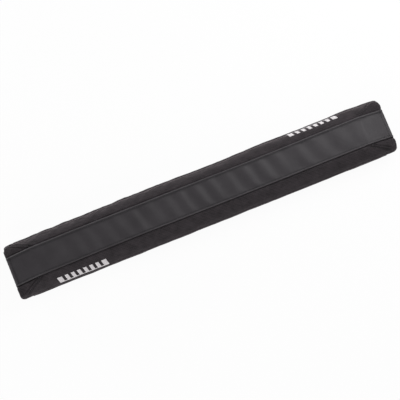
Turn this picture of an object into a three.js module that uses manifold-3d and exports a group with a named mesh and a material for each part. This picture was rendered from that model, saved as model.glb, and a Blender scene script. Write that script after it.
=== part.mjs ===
// A padded sleeve for one crossbar of a roof rack, closed as it is round the bar.
// A hipped foam core lies under a sewn cover of one top panel and two side panels. A grippy liner
// closes the cover below the foam, and two flaps with hook and loop tape close the tunnel for the bar.
// Millimetres. +X runs along the bar, +Y across it to the rear and +Z up. The origin is in the middle
// of the face that the closed sleeve lies on.
import * as THREE from "three";
import { mergeVertices } from "three/addons/utils/BufferGeometryUtils.js";
import Module from "manifold-3d";

const wasm = await Module();
wasm.setup();

// Sewn cover and foam
const coverLength = 748;
const padWidth = 106;
const padThickness = 24;
const seamSpacing = 57;
const shoulderDrop = 16.5;
const seamEdgeRadius = 6;
const shoulderRadius = 25;
const planCornerRadius = 11;
const rampLength = 48;
const rampDrop = 18;
const rampStartRadius = 25;
const endEdgeRadius = 3;
const fabric = 1.2;
const clearance = 0.3;

// Seat for the bar, under the foam
const tunnelHeight = 22;
const seatFlatWidth = 40;
const seatEdgeDrop = 9;

// Folded edges of the cover panels
const seamFoldWidth = 4.3;
const endHemWidth = 7;
const foldHeight = 0.8;
const dartWidth = 4;
const dartHeight = 0.9;
const dartEndMargin = 6;

// Slack ripples across the top panel
const rippleSpacing = 31;
const rippleWidth = 25;
const rippleHeight = 0.9;
const rippleFade = 0.6;
const rippleSlant = THREE.MathUtils.degToRad(14);

// Tape that binds the lower edge of each end
const bindingThickness = 0.8;
const bindingRise = 3.6;
const bindingUnder = 7;

// Flaps and the hook and loop tape that closes them
const hookThickness = 1.5;
const loopThickness = 1.3;
const stripWidth = 40;
const stripMargin = 1;
const stripEndMargin = 8;
const flapHemWidth = 5;
const flapEndInset = 22;
const wrapRadius = 18;

// Reflective marks, one on each side panel
const markFrontInset = 75;
const markRearInset = 84;
const markLength = 96;
const markDrop = 0.7;
const markHeight = 16.3;
const markFilm = 0.3;
const markBarPitch = 12;
const markSlotWidth = 5.6;
const markUnderline = 2.2;
const markSlant = THREE.MathUtils.degToRad(12);

// Steps on a round corner, how far a cutting tool runs past what it cuts, the share of an edge that
// its round corners may take, and the shortest edge kept
const arcSteps = 3;
const overrun = 20;
const filletShare = 0.95;
const meshTolerance = 0.01;

// Levels and half sizes that follow from the sizes above
const flapLevel = fabric + clearance + hookThickness + clearance + loopThickness + clearance;
const tunnelFloor = flapLevel + fabric;
const seatLevel = tunnelFloor + tunnelHeight;
const sideEdgeLevel = seatLevel - seatEdgeDrop;
const topLevel = seatLevel + padThickness;
const halfWidth = padWidth / 2;
const halfLength = coverLength / 2;
const seamLine = seamSpacing / 2;
const rampStart = halfLength - rampLength;
const shoulderLevel = topLevel - shoulderDrop;
const shoulderAngle = Math.atan2(shoulderDrop, halfWidth - seamLine);
const flapTop = sideEdgeLevel - clearance;
const flapLength = coverLength - 2 * flapEndInset;
const flapReach = stripWidth / 2 + stripMargin + flapHemWidth;

// Directions that an outline's x, its y and the depth of its prism point along
const acrossBar = [new THREE.Vector3(0, 1, 0), new THREE.Vector3(0, 0, 1), new THREE.Vector3(1, 0, 0)];
const alongBar = [new THREE.Vector3(1, 0, 0), new THREE.Vector3(0, 0, 1), new THREE.Vector3(0, -1, 0)];
const inPlan = [new THREE.Vector3(1, 0, 0), new THREE.Vector3(0, 1, 0), new THREE.Vector3(0, 0, 1)];

// A closed three.js geometry as a solid that can be joined and cut.
function solidOf(geometry) {
  geometry.deleteAttribute("normal");
  geometry.deleteAttribute("uv");
  const merged = mergeVertices(geometry, 1e-4);
  return new wasm.Manifold(
    new wasm.Mesh({
      numProp: 3,
      vertProperties: merged.attributes.position.array,
      triVerts: new Uint32Array(merged.index.array),
    }),
  );
}

// A shape drawn out to a prism, with the middle of its depth on the origin.
function prism(shape, depth, directions) {
  const geometry = new THREE.ExtrudeGeometry(shape, { depth, bevelEnabled: false, curveSegments: arcSteps });
  geometry.translate(0, 0, -depth / 2);
  geometry.applyMatrix4(new THREE.Matrix4().makeBasis(...directions));
  return solidOf(geometry);
}

// A block from its lowest to its highest corner.
function block(low, high) {
  const size = high.map((value, i) => value - low[i]);
  const geometry = new THREE.BoxGeometry(...size);
  geometry.translate(...low.map((value, i) => value + size[i] / 2));
  return solidOf(geometry);
}

// An outline with its edges moved outwards, edge i by distances[i]. Round corners keep their centres.
function moveEdges(corners, distances) {
  const edges = corners.map((corner, i) => {
    const next = corners[(i + 1) % corners.length];
    const along = new THREE.Vector2(next.x - corner.x, next.y - corner.y).normalize();
    const outward = new THREE.Vector2(along.y, -along.x);
    const start = new THREE.Vector2(corner.x, corner.y).addScaledVector(outward, distances[i]);
    return { start, along };
  });
  return corners.map((corner, i) => {
    const before = edges[(i + corners.length - 1) % corners.length];
    const after = edges[i];
    const turn = before.along.cross(after.along);
    const reach = after.start.clone().sub(before.start).cross(after.along) / turn;
    const point = before.start.clone().addScaledVector(before.along, reach);
    const radius = corner.r > 0 ? Math.max(0, corner.r + Math.sign(turn) * distances[i]) : 0;
    return { x: point.x, y: point.y, r: radius };
  });
}

// How far each round corner reaches along its two edges: less than its radius asks where an edge is
// too short for the corners at its ends.
function cornerReaches(corners) {
  const count = corners.length;
  const edges = corners.map((corner, i) => {
    const next = corners[(i + 1) % count];
    return new THREE.Vector2(next.x - corner.x, next.y - corner.y);
  });
  const wanted = corners.map((corner, i) => {
    const turn = edges[(i + count - 1) % count].angleTo(edges[i]);
    return corner.r * Math.tan(turn / 2);
  });
  return wanted.map((reach, i) => {
    const before = (i + count - 1) % count;
    const roomBefore = (filletShare * edges[before].length()) / (reach + wanted[before]);
    const roomAfter = (filletShare * edges[i].length()) / (reach + wanted[(i + 1) % count]);
    return reach * Math.min(1, roomBefore, roomAfter);
  });
}

// A shape through corners {x, y, r} in anticlockwise order, each rounded by r where its edges allow.
function roundedShape(corners) {
  const shape = new THREE.Shape();
  const reaches = cornerReaches(corners);
  corners.forEach((corner, i) => {
    const here = new THREE.Vector2(corner.x, corner.y);
    const before = corners[(i + corners.length - 1) % corners.length];
    const after = corners[(i + 1) % corners.length];
    const back = new THREE.Vector2(before.x, before.y).sub(here).normalize();
    const ahead = new THREE.Vector2(after.x, after.y).sub(here).normalize();
    if (corner.r > 0) {
      const halfAngle = Math.acos(back.dot(ahead)) / 2;
      const radius = reaches[i] * Math.tan(halfAngle);
      const centre = back.clone().add(ahead).normalize();
      centre.multiplyScalar(radius / Math.sin(halfAngle)).add(here);
      const from = here.clone().addScaledVector(back, reaches[i]).sub(centre);
      const to = here.clone().addScaledVector(ahead, reaches[i]).sub(centre);
      shape.absarc(centre.x, centre.y, radius, from.angle(), to.angle(), false);
    } else if (i === 0) shape.moveTo(here.x, here.y);
    else shape.lineTo(here.x, here.y);
  });
  shape.closePath();
  return shape;
}

// The padded body with its walls moved outwards by wrap and its face over the bar by under.
function paddedBody(wrap, under) {
  const section = [
    { x: -halfWidth, y: sideEdgeLevel, r: 0 },
    { x: -seatFlatWidth / 2, y: seatLevel, r: 0 },
    { x: seatFlatWidth / 2, y: seatLevel, r: 0 },
    { x: halfWidth, y: sideEdgeLevel, r: 0 },
    { x: halfWidth, y: shoulderLevel, r: shoulderRadius },
    { x: seamLine, y: topLevel, r: seamEdgeRadius },
    { x: -seamLine, y: topLevel, r: seamEdgeRadius },
    { x: -halfWidth, y: shoulderLevel, r: shoulderRadius },
  ];
  const elevation = [
    { x: -halfLength, y: -overrun, r: 0 },
    { x: halfLength, y: -overrun, r: 0 },
    { x: halfLength, y: topLevel - rampDrop, r: endEdgeRadius },
    { x: rampStart, y: topLevel, r: rampStartRadius },
    { x: -rampStart, y: topLevel, r: rampStartRadius },
    { x: -halfLength, y: topLevel - rampDrop, r: endEdgeRadius },
  ];
  const plan = [
    { x: -halfLength, y: -halfWidth, r: planCornerRadius },
    { x: halfLength, y: -halfWidth, r: planCornerRadius },
    { x: halfLength, y: halfWidth, r: planCornerRadius },
    { x: -halfLength, y: halfWidth, r: planCornerRadius },
  ];
  const sectionMoves = [under, under, under, wrap, wrap, wrap, wrap, wrap];
  const across = prism(roundedShape(moveEdges(section, sectionMoves)), coverLength + overrun, acrossBar);
  const lengthOutline = roundedShape(moveEdges(elevation, elevation.map(() => wrap)));
  const along = prism(lengthOutline, padWidth + overrun, alongBar);
  const height = 2 * (topLevel + overrun);
  const above = prism(roundedShape(moveEdges(plan, plan.map(() => wrap))), height, inPlan);
  return across.intersect(along).intersect(above);
}

// Room for the tape in the lower edge of the cover's ends
const tapeInside = paddedBody(overrun, -(bindingThickness + clearance));
const tapeDepth = paddedBody(overrun, overrun).subtract(tapeInside);
const tapeRoom = bindingReach(-1, clearance).add(bindingReach(1, clearance)).intersect(tapeDepth);

const coverOutside = paddedBody(0, 0).subtract(tapeRoom);
const coverHollow = paddedBody(-fabric, overrun);
const insideCover = -(fabric + clearance);

// The cover's fabric, thicker by a fold of the given height inside a region.
function coverWithFold(height, region) {
  return coverOutside.translate(0, 0, height).intersect(region).subtract(coverHollow);
}

// What lies between the two long seams, all along the pad.
function betweenSeams(edge) {
  return block([-halfLength - overrun, -edge, 0], [halfLength + overrun, edge, topLevel + overrun]);
}

// A band across each end of the pad, as deep as its hem.
function endBands() {
  const reach = halfLength + overrun;
  const inner = halfLength - endHemWidth;
  const height = topLevel + overrun;
  const left = block([-reach, -padWidth, 0], [-inner, padWidth, height]);
  const right = block([inner, -padWidth, 0], [reach, padWidth, height]);
  return left.add(right);
}

// One slack ripple: a low rounded bar whose foot is sunk half way into the fabric.
function ripple(height) {
  const half = rippleWidth / 2;
  const shape = new THREE.Shape();
  shape.moveTo(-half, -fabric / 2);
  shape.lineTo(half, -fabric / 2);
  shape.lineTo(half, 0);
  shape.quadraticCurveTo(0, 2 * height, -half, 0);
  shape.closePath();
  return prism(shape, padWidth, alongBar);
}

// Ripples over the level stretch of the top panel, lower towards its ends.
function rippleField() {
  const count = Math.floor((2 * rampStart) / rippleSpacing) - 1;
  const slant = THREE.MathUtils.radToDeg(rippleSlant);
  const bars = Array.from({ length: count }, (_, i) => {
    const x = (i - (count - 1) / 2) * rippleSpacing;
    const height = rippleHeight * (1 - rippleFade * Math.abs(x / rampStart));
    return ripple(height).rotate(0, 0, slant).translate(x, 0, topLevel);
  });
  const level = block(
    [-rampStart, -(seamLine - seamFoldWidth), 0],
    [rampStart, seamLine - seamFoldWidth, topLevel + overrun],
  );
  return wasm.Manifold.union(bars).intersect(level);
}

// Wear panel: its long edges are folded under along the seams and its ends are hemmed.
function topPanel() {
  const edge = seamLine - clearance / 2;
  const folds = betweenSeams(edge).subtract(betweenSeams(seamLine - seamFoldWidth));
  const panel = coverOutside.subtract(coverHollow).intersect(betweenSeams(edge));
  const seams = coverWithFold(foldHeight, folds);
  const hems = coverWithFold(foldHeight, endBands().intersect(betweenSeams(edge)));
  return panel.add(seams).add(hems).add(rippleField());
}

// The fold of a dart, as a strip in plan from the seam at the top of the ramp to the corner.
function dartStrip(endSign, sideSign) {
  const start = new THREE.Vector2(endSign * rampStart, sideSign * seamLine);
  const corner = new THREE.Vector2(endSign * halfLength, sideSign * halfWidth);
  const run = corner.clone().sub(start);
  const inset = (planCornerRadius * (Math.SQRT2 - 1)) + dartEndMargin;
  const length = run.length() - inset;
  const height = topLevel + overrun;
  return block([0, -dartWidth / 2, 0], [length, dartWidth / 2, height])
    .rotate(0, 0, THREE.MathUtils.radToDeg(run.angle()))
    .translate(start.x, start.y, 0);
}

// Side panel with a dart at each corner; sideSign is -1 at the front and 1 at the rear.
function sidePanel(sideSign) {
  const near = seamLine + clearance / 2;
  const far = halfWidth + overrun;
  const reach = halfLength + overrun;
  const low = sideSign > 0 ? near : -far;
  const high = sideSign > 0 ? far : -near;
  const side = block([-reach, low, 0], [reach, high, topLevel + overrun]);
  const panel = coverOutside.subtract(coverHollow).intersect(side);
  const hems = coverWithFold(foldHeight, endBands().intersect(side));
  const dartStrips = [-1, 1].map((endSign) => dartStrip(endSign, sideSign).intersect(side));
  const darts = dartStrips.map((strip) => coverWithFold(dartHeight, strip));
  return panel.add(hems).add(darts[0]).add(darts[1]);
}

// Closed-cell foam block that fills the cover above the liner.
function foamCore() {
  return paddedBody(insideCover, insideCover);
}

// Grippy sheet between the foam and the bar, cut back where the tape lies at each end.
function barLiner() {
  const sheet = paddedBody(insideCover, 0).subtract(paddedBody(overrun, -fabric));
  return sheet.subtract(bindingReach(-1, clearance)).subtract(bindingReach(1, clearance));
}

// Where the tape lies at one end, between the round corners of the cover, grown by a margin.
function bindingReach(endSign, margin) {
  const inner = halfLength - bindingUnder - margin;
  const outer = halfLength + overrun;
  const half = halfWidth - planCornerRadius + margin;
  const low = endSign > 0 ? inner : -outer;
  const high = endSign > 0 ? outer : -inner;
  return block([low, -half, 0], [high, half, seatLevel + bindingRise + margin]);
}

// Tape folded round the lower edge of one end, flush with the liner underneath.
function endBinding(endSign) {
  const tapeOutside = paddedBody(clearance + bindingThickness, 0);
  const tape = tapeOutside.subtract(paddedBody(clearance, -bindingThickness));
  return tape.intersect(bindingReach(endSign, 0));
}

// A flap from the lower edge of a side panel round to the underside and past the middle.
// It is drawn for the rear side, its flat stretch lies at a level, and its free edge is hemmed
// towards the other flap: up on the outer flap and down on the inner one.
function flapShape(level, hemUp) {
  const radius = Math.min(wrapRadius, flapTop) - level;
  const bend = halfWidth - radius;
  const middle = level + radius;
  const top = level + fabric;
  const hem = flapHemWidth - flapReach;
  const shape = new THREE.Shape();
  shape.moveTo(halfWidth, flapTop);
  shape.lineTo(halfWidth - fabric, flapTop);
  shape.lineTo(halfWidth - fabric, middle);
  shape.absarc(bend, middle, radius - fabric, 0, -Math.PI / 2, true);
  if (hemUp) {
    shape.lineTo(hem, top);
    shape.lineTo(hem, top + fabric);
    shape.lineTo(-flapReach, top + fabric);
    shape.lineTo(-flapReach, level);
  } else {
    shape.lineTo(-flapReach, top);
    shape.lineTo(-flapReach, level - fabric);
    shape.lineTo(hem, level - fabric);
    shape.lineTo(hem, level);
  }
  shape.lineTo(bend, level);
  shape.absarc(bend, middle, radius, -Math.PI / 2, 0, false);
  shape.closePath();
  return shape;
}

function outerFlap() {
  return prism(flapShape(0, true), flapLength, acrossBar);
}

function innerFlap() {
  return prism(flapShape(flapLevel, false), flapLength, acrossBar).rotate(0, 0, 180);
}

// A strip of tape on the flaps, from one level up.
function closureStrip(level, thickness) {
  const half = flapLength / 2 - stripEndMargin;
  return block([-half, -stripWidth / 2, level], [half, stripWidth / 2, level + thickness]);
}

// Reflective mark on the round of a shoulder: plain slanted bars on a thin underline.
// It is drawn for the rear side at the right end.
function reflectiveMark(endInset) {
  const turnStart = Math.PI / 2 - shoulderAngle - markDrop / shoulderRadius;
  const turnEnd = turnStart - markHeight / shoulderRadius;
  const cut = shoulderRadius * Math.tan((Math.PI / 2 - shoulderAngle) / 2);
  const centre = new THREE.Vector2(halfWidth - shoulderRadius, shoulderLevel - cut);
  const inner = shoulderRadius + clearance;
  const film = new THREE.Shape();
  film.absarc(centre.x, centre.y, inner + markFilm, turnEnd, turnStart, false);
  film.absarc(centre.x, centre.y, inner, turnStart, turnEnd, true);
  film.closePath();
  const base = centre.y + inner * Math.sin(turnEnd);
  const middleHeight = (base + centre.y + inner * Math.sin(turnStart)) / 2;
  const high = topLevel + overrun;
  const slanted = (x, half, low) => {
    const lowLean = (low - middleHeight) * Math.tan(markSlant);
    const highLean = (high - middleHeight) * Math.tan(markSlant);
    const outline = roundedShape([
      { x: x - half + lowLean, y: low, r: 0 },
      { x: x + half + lowLean, y: low, r: 0 },
      { x: x + half + highLean, y: high, r: 0 },
      { x: x - half + highLean, y: high, r: 0 },
    ]);
    return prism(outline, padWidth + overrun, alongBar);
  };
  const slots = Array.from({ length: Math.round(markLength / markBarPitch) - 1 }, (_, i) =>
    slanted((i + 1) * markBarPitch - markLength / 2, markSlotWidth / 2, base + markUnderline));
  const middle = halfLength - endInset - markLength / 2;
  const band = prism(film, markLength + overrun, acrossBar).intersect(slanted(0, markLength / 2, 0));
  return band.subtract(wasm.Manifold.union(slots)).translate(middle, 0, 0);
}

const wearFabric = new THREE.MeshStandardMaterial({ color: 0x39383b, roughness: 0.55, metalness: 0 });
const wovenFabric = new THREE.MeshStandardMaterial({ color: 0x2b292b, roughness: 0.85, metalness: 0 });
const foam = new THREE.MeshStandardMaterial({ color: 0x4a4a4c, roughness: 0.9, metalness: 0 });
const gripLiner = new THREE.MeshStandardMaterial({ color: 0x1f1f21, roughness: 0.7, metalness: 0 });
const bindingTape = new THREE.MeshStandardMaterial({ color: 0x1c1b1d, roughness: 0.8, metalness: 0 });
const hookTape = new THREE.MeshStandardMaterial({ color: 0x161617, roughness: 0.6, metalness: 0 });
const loopTape = new THREE.MeshStandardMaterial({ color: 0x202022, roughness: 0.95, metalness: 0 });
const reflectiveFilm = new THREE.MeshStandardMaterial({ color: 0xd6d4d6, roughness: 0.4, metalness: 0 });

const pad = new THREE.Group();

// Adds a solid to the pad as one named mesh.
function addPiece(name, solid, material) {
  const made = solid.asOriginal().simplify(meshTolerance).getMesh();
  const geometry = new THREE.BufferGeometry();
  geometry.setAttribute("position", new THREE.BufferAttribute(made.vertProperties, made.numProp));
  geometry.setIndex(new THREE.BufferAttribute(made.triVerts, 1));
  geometry.computeVertexNormals();
  const mesh = new THREE.Mesh(geometry, material);
  mesh.name = name;
  pad.add(mesh);
}

addPiece("foam_core", foamCore(), foam);
addPiece("top_panel", topPanel(), wearFabric);
addPiece("side_panel_front", sidePanel(-1), wovenFabric);
addPiece("side_panel_rear", sidePanel(1), wovenFabric);
addPiece("bar_liner", barLiner(), gripLiner);
addPiece("end_binding_left", endBinding(-1), bindingTape);
addPiece("end_binding_right", endBinding(1), bindingTape);
addPiece("closure_flap_outer", outerFlap(), wovenFabric);
addPiece("closure_flap_inner", innerFlap(), wovenFabric);
addPiece("hook_strip", closureStrip(fabric + clearance, hookThickness), hookTape);
addPiece("loop_strip", closureStrip(flapLevel - clearance - loopThickness, loopThickness), loopTape);
addPiece("reflective_mark_rear", reflectiveMark(markRearInset), reflectiveFilm);
addPiece("reflective_mark_front", reflectiveMark(markFrontInset).rotate(0, 0, 180), reflectiveFilm);

export default pad;
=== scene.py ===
"""A padded sleeve for a roof rack crossbar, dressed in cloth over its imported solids."""
import bpy
import math
import numpy as np
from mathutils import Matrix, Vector
from mathutils.bvhtree import BVHTree


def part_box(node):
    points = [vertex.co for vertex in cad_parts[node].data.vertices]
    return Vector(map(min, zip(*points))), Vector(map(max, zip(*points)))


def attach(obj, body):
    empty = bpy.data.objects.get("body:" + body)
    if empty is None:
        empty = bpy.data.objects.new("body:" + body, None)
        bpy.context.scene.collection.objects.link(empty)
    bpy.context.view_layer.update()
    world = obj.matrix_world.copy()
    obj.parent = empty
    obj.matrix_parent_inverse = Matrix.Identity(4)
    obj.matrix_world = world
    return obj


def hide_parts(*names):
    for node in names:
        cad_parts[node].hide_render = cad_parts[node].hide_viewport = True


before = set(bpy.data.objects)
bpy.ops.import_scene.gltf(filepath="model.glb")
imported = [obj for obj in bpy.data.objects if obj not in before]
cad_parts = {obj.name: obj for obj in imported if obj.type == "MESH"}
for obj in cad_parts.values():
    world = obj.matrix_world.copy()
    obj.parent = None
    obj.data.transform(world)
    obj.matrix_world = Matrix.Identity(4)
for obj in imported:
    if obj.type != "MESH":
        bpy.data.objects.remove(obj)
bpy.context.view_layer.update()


# Studio table and backdrop
# A white sheet laid flat under the sleeve, as in a catalogue picture: matte, no texture.
# It keeps the sleeve's soft shadow and shows plain white to the camera and in reflections.
def linear(hex_colour):
    """An sRGB hex colour as the linear values that a shader takes."""
    parts = [int(hex_colour[i : i + 2], 16) / 255 for i in (1, 3, 5)]
    return tuple(p / 12.92 if p <= 0.04045 else ((p + 0.055) / 1.055) ** 2.4 for p in parts) + (1.0,)


def add_node(tree, kind, inputs=None, **settings):
    """Adds a node, sets its properties, and gives its inputs values or links."""
    node = tree.nodes.new(kind)
    for key, value in settings.items():
        setattr(node, key, value)
    for key, value in (inputs or {}).items():
        if isinstance(value, bpy.types.NodeSocket):
            tree.links.new(value, node.inputs[key])
        else:
            node.inputs[key].default_value = value
    return node


def new_material(name):
    """A named material with an empty node tree, and that tree."""
    material = bpy.data.materials.new(name)
    material.use_nodes = True
    material.node_tree.nodes.clear()
    return material, material.node_tree


def calculate(tree, operation, *values, **settings):
    """What a math node makes of some values and outputs."""
    inputs = dict(enumerate(values))
    return add_node(tree, "ShaderNodeMath", inputs, operation=operation, **settings).outputs[0]


def rescale(tree, value, start=0.0, end=1.0, low=0.0, high=1.0):
    """A value between start and end, stretched to lie between low and high."""
    inputs = dict(enumerate((value, start, end, low, high)))
    return add_node(tree, "ShaderNodeMapRange", inputs).outputs[0]


scene = bpy.context.scene
plain_white_share = 0.95
floor_level = -0.0003
floor_reach = 4
paper, tree = new_material("matte white paper")
rays = add_node(tree, "ShaderNodeLightPath").outputs
seen = calculate(tree, "MAXIMUM", rays["Is Camera Ray"], rays["Is Glossy Ray"])
seen = calculate(tree, "MAXIMUM", seen, rays["Is Transmission Ray"])
share = calculate(tree, "MULTIPLY", seen, plain_white_share)
white = add_node(tree, "ShaderNodeEmission", {"Color": linear("#ffffff"), "Strength": 1.0})
sheet = add_node(tree, "ShaderNodeBsdfDiffuse", {"Color": linear("#f4f4f4")})
mixed = add_node(tree, "ShaderNodeMixShader", {0: share, 1: sheet.outputs[0], 2: white.outputs[0]})
add_node(tree, "ShaderNodeOutputMaterial", {"Surface": mixed.outputs[0]})
floor_mesh = bpy.data.meshes.new("table_paper")
corner_signs = ((-1, -1), (1, -1), (1, 1), (-1, 1))
floor_points = [(x * floor_reach, y * floor_reach, floor_level) for x, y in corner_signs]
floor_mesh.from_pydata(floor_points, [], [(0, 1, 2, 3)])
floor = bpy.data.objects.new("table_paper", floor_mesh)
scene.collection.objects.link(floor)
floor_mesh.materials.append(paper)

surround_level = 0.18
world = bpy.data.worlds.new("white surround")
scene.world = world
world.use_nodes = True
tree = world.node_tree
tree.nodes.clear()
rays = add_node(tree, "ShaderNodeLightPath").outputs
seen = calculate(tree, "MAXIMUM", rays["Is Camera Ray"], rays["Is Transmission Ray"])
level = rescale(tree, seen, low=surround_level)
surround = add_node(tree, "ShaderNodeBackground", {"Color": linear("#ffffff"), "Strength": level})
add_node(tree, "ShaderNodeOutputWorld", {"Surface": surround.outputs[0]})


# Soft boxes
# Four soft boxes: one close on the right and behind, so that the right end is brighter and the slack
# ripples show, a large one in front on the left that lights the near side, a low one behind on the
# left that brightens the far edge, and a weak one overhead.
def soft_box(name, place, size, watts, aim=(0.0, 0.0, 0.03)):
    """A square lamp, itself unseen, at one place in metres and aimed at another."""
    lamp = bpy.data.lights.new(name, "AREA")
    lamp.shape = "SQUARE"
    lamp.size = size
    lamp.energy = watts
    box = bpy.data.objects.new(name, lamp)
    box.location = place
    box.visible_camera = False
    box.rotation_euler = (Vector(aim) - Vector(place)).to_track_quat("-Z", "Y").to_euler()
    scene.collection.objects.link(box)


soft_box("soft_box_right", (0.85, 0.45, 0.85), size=0.7, watts=10.3)
soft_box("soft_box_front", (-1.0, -1.4, 0.8), size=1.2, watts=17, aim=(-0.1, 0.0, 0.03))
soft_box("soft_box_rear", (-0.8, 1.1, 0.22), size=0.4, watts=8)
soft_box("soft_box_top", (0.4, 0.2, 2.0), size=1.0, watts=2)


# Camera
# High in front of the sleeve and turned a little to its left, with a long lens, as photographed.
# The sleeve's middle lies a little right of the picture's middle and above it, given in pixels.
azimuth = math.radians(-22.05)
elevation = math.radians(79.4)
distance = 4.0
pixels_per_metre = 541.0
picture_width = 400
sensor_width = 36
right_of_middle = 0.6
above_middle = 2.2
sleeve_middle = Vector((0, 0, 0.030))
away = Vector((math.sin(azimuth) * math.cos(elevation), -math.cos(azimuth) * math.cos(elevation),
               math.sin(elevation)))
right = Vector((math.cos(azimuth), math.sin(azimuth), 0))
upward = away.cross(right)
lens = bpy.data.cameras.new("camera")
lens.sensor_width = sensor_width
lens.lens = pixels_per_metre * sensor_width * distance / picture_width
camera = bpy.data.objects.new("camera", lens)
target = (sleeve_middle - right * (right_of_middle / pixels_per_metre)
          - upward * (above_middle / pixels_per_metre))
camera.location = target + away * distance
camera.rotation_euler = away.to_track_quat("Z", "Y").to_euler()
scene.collection.objects.link(camera)
scene.camera = camera
scene.view_settings.view_transform = "Standard"


# Foam block
# Closed-cell foam, cut with ramped ends and hipped corners. It lies loose inside the sewn cover and
# gives the sleeve its form, so the lie of the cover is worked out here, in millimetres.
foam_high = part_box("foam_core")[1]
liner_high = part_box("bar_liner")[1]
top_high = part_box("top_panel")[1]
side_low, side_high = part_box("side_panel_rear")
cloth_thickness = 1.2
air = 0.3
half_length = side_high[0] * 1000
half_width = side_high[1] * 1000
seam = top_high[1] * 1000
top_level = foam_high[2] * 1000 + cloth_thickness + air
seat_level = liner_high[2] * 1000 - cloth_thickness
low_edge = side_low[2] * 1000
corner_radius = 11
ramp_length = 48
ramp_drop = 18
seat_flat = 20
shoulder_drop = 16.5
seam_bend = 6
shoulder_bend = 25
ramp_bend = 25
end_bend = 3
bend_points = 13
crease = 3.0


def distances_along(line):
    """The distance of each point of a line from its first point, along the line."""
    return np.cumsum(np.linalg.norm(np.diff(line, axis=0, prepend=line[:1]), axis=1))


def rounded_path(corners):
    """A fine line through corners (across, up, radius), as points and their distances along it."""
    line = [np.array(corners[0][:2], float)]
    for before, here, after in zip(corners, corners[1:], corners[2:]):
        corner = np.array(here[:2], float)
        back = np.array(before[:2], float) - corner
        ahead = np.array(after[:2], float) - corner
        back /= np.linalg.norm(back)
        ahead /= np.linalg.norm(ahead)
        half_angle = math.acos(np.clip(back @ ahead, -1, 1)) / 2
        reach = here[2] / math.tan(half_angle)
        for t in np.linspace(0, 1, bend_points):
            start, end = corner + back * reach, corner + ahead * reach
            line.append((1 - t) ** 2 * start + 2 * t * (1 - t) * corner + t ** 2 * end)
    line.append(np.array(corners[-1][:2], float))
    line = np.array(line)
    return line, distances_along(line)


def walk(path, distances):
    """The places at some distances along a path."""
    line, along = path
    return np.interp(distances, along, line[:, 0]), np.interp(distances, along, line[:, 1])


def lower(a, b, softness):
    """The lower of two heights, with the crease between them rounded."""
    share = np.clip(0.5 + 0.5 * (b - a) / softness, 0, 1)
    return b + (a - b) * share - softness * share * (1 - share)


def seat_height(y):
    """The height of the sleeve's underside: flat over the bar, falling to its lower edges."""
    fall = (seat_level - low_edge) / (half_width - seat_flat)
    return seat_level - np.maximum(0, np.abs(y) - seat_flat) * fall


def ease(x):
    """A smooth step from 0 to 1."""
    x = np.clip(x, 0, 1)
    return x * x * (3 - 2 * x)


across_path = rounded_path([(0, top_level, 0), (seam + 0.15, top_level, seam_bend),
                            (half_width, top_level - shoulder_drop, shoulder_bend),
                            (half_width, low_edge, 0)])
corner_x = half_length - corner_radius
corner_y = half_width - corner_radius
corner_v = np.interp(corner_y, across_path[0][:, 0], across_path[1])
end_v = across_path[1][-1]
seam_v = np.interp(seam, across_path[0][:, 0], across_path[1])


def end_path(y):
    """The line over the ramp and down the end wall, from where the plan's round corner starts."""
    ramp_fall = ramp_drop * corner_radius / ramp_length
    return rounded_path([(corner_x, top_level - ramp_drop + ramp_fall, 0),
                         (half_length, top_level - ramp_drop, end_bend), (half_length, seat_height(y), 0)])


ridge_line = rounded_path([(0, top_level, 0), (half_length - ramp_length, top_level, ramp_bend),
                           (half_length, top_level - ramp_drop, 0)])[0]


def ridge_height(x):
    """The height of the top's middle line, which falls along the ramp at each end."""
    return np.interp(np.abs(x), ridge_line[:, 0], ridge_line[:, 1])


def cover_grid(columns, rows, rings):
    """The lie of the cover: a grid of points over the top and down all its walls, with the arc
    distance of each row from the middle. rows are the arc distances between the round corners."""
    ring = np.arange(1, rings + 1) / rings
    row_v = np.concatenate([-(corner_v + (end_v - corner_v) * ring[::-1]), rows,
                            corner_v + (end_v - corner_v) * ring])
    row_y, row_z = walk(across_path, np.abs(row_v))
    row_y = row_y * np.sign(row_v)
    n, m = len(row_v), len(columns) + 2 * rings
    points = np.zeros((n, m, 3))
    middle = slice(rings, rings + len(columns))
    points[:, middle, 0] = columns[None, :]
    points[:, middle, 1] = row_y[:, None]
    points[:, middle, 2] = lower(row_z[:, None], ridge_height(columns)[None, :], crease)
    for j in range(rings, n - rings):
        path = end_path(row_y[j])
        x, z = walk(path, path[1][-1] * ring)
        z = lower(np.full(rings, row_z[j]), z, crease)
        points[j, m - rings :, 0], points[j, m - rings :, 2] = x, z
        points[j, :rings, 0], points[j, :rings, 2] = -x[::-1], z[::-1]
        points[j, m - rings :, 1] = points[j, :rings, 1] = row_y[j]
    side_a = row_y[n - rings :] - corner_y
    side_z = points[n - rings :, m - rings - 1, 2]
    end_a = points[n - rings - 1, m - rings :, 0] - corner_x
    end_z = points[n - rings - 1, m - rings :, 2]
    for p in range(1, rings + 1):
        for q in range(1, rings + 1):
            k = max(p, q) - 1
            turn = math.atan2(p, q)
            blend = ease(turn / (math.pi / 2))
            reach = end_a[k] + (side_a[k] - end_a[k]) * blend
            height = end_z[k] + (side_z[k] - end_z[k]) * blend
            x, y = corner_x + reach * math.cos(turn), corner_y + reach * math.sin(turn)
            for sx in (-1, 1):
                for sy in (-1, 1):
                    i = m - rings - 1 + q if sx > 0 else rings - q
                    j = n - rings - 1 + p if sy > 0 else rings - p
                    points[j, i] = (sx * x, sy * y, height)
    return points, row_v


def unit(vectors):
    """Vectors brought to a length of 1."""
    return vectors / np.maximum(np.linalg.norm(vectors, axis=-1, keepdims=True), 1e-9)


def grid_normals(points):
    """Outward normals of a grid whose rows run along X and whose columns run across it."""
    return unit(np.cross(np.gradient(points, axis=1), np.gradient(points, axis=0)))


def grid_of(x, y, z):
    """A grid of points from coordinates given for each row, each column or each point."""
    return np.stack(np.broadcast_arrays(x, y, z), axis=2)


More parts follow.
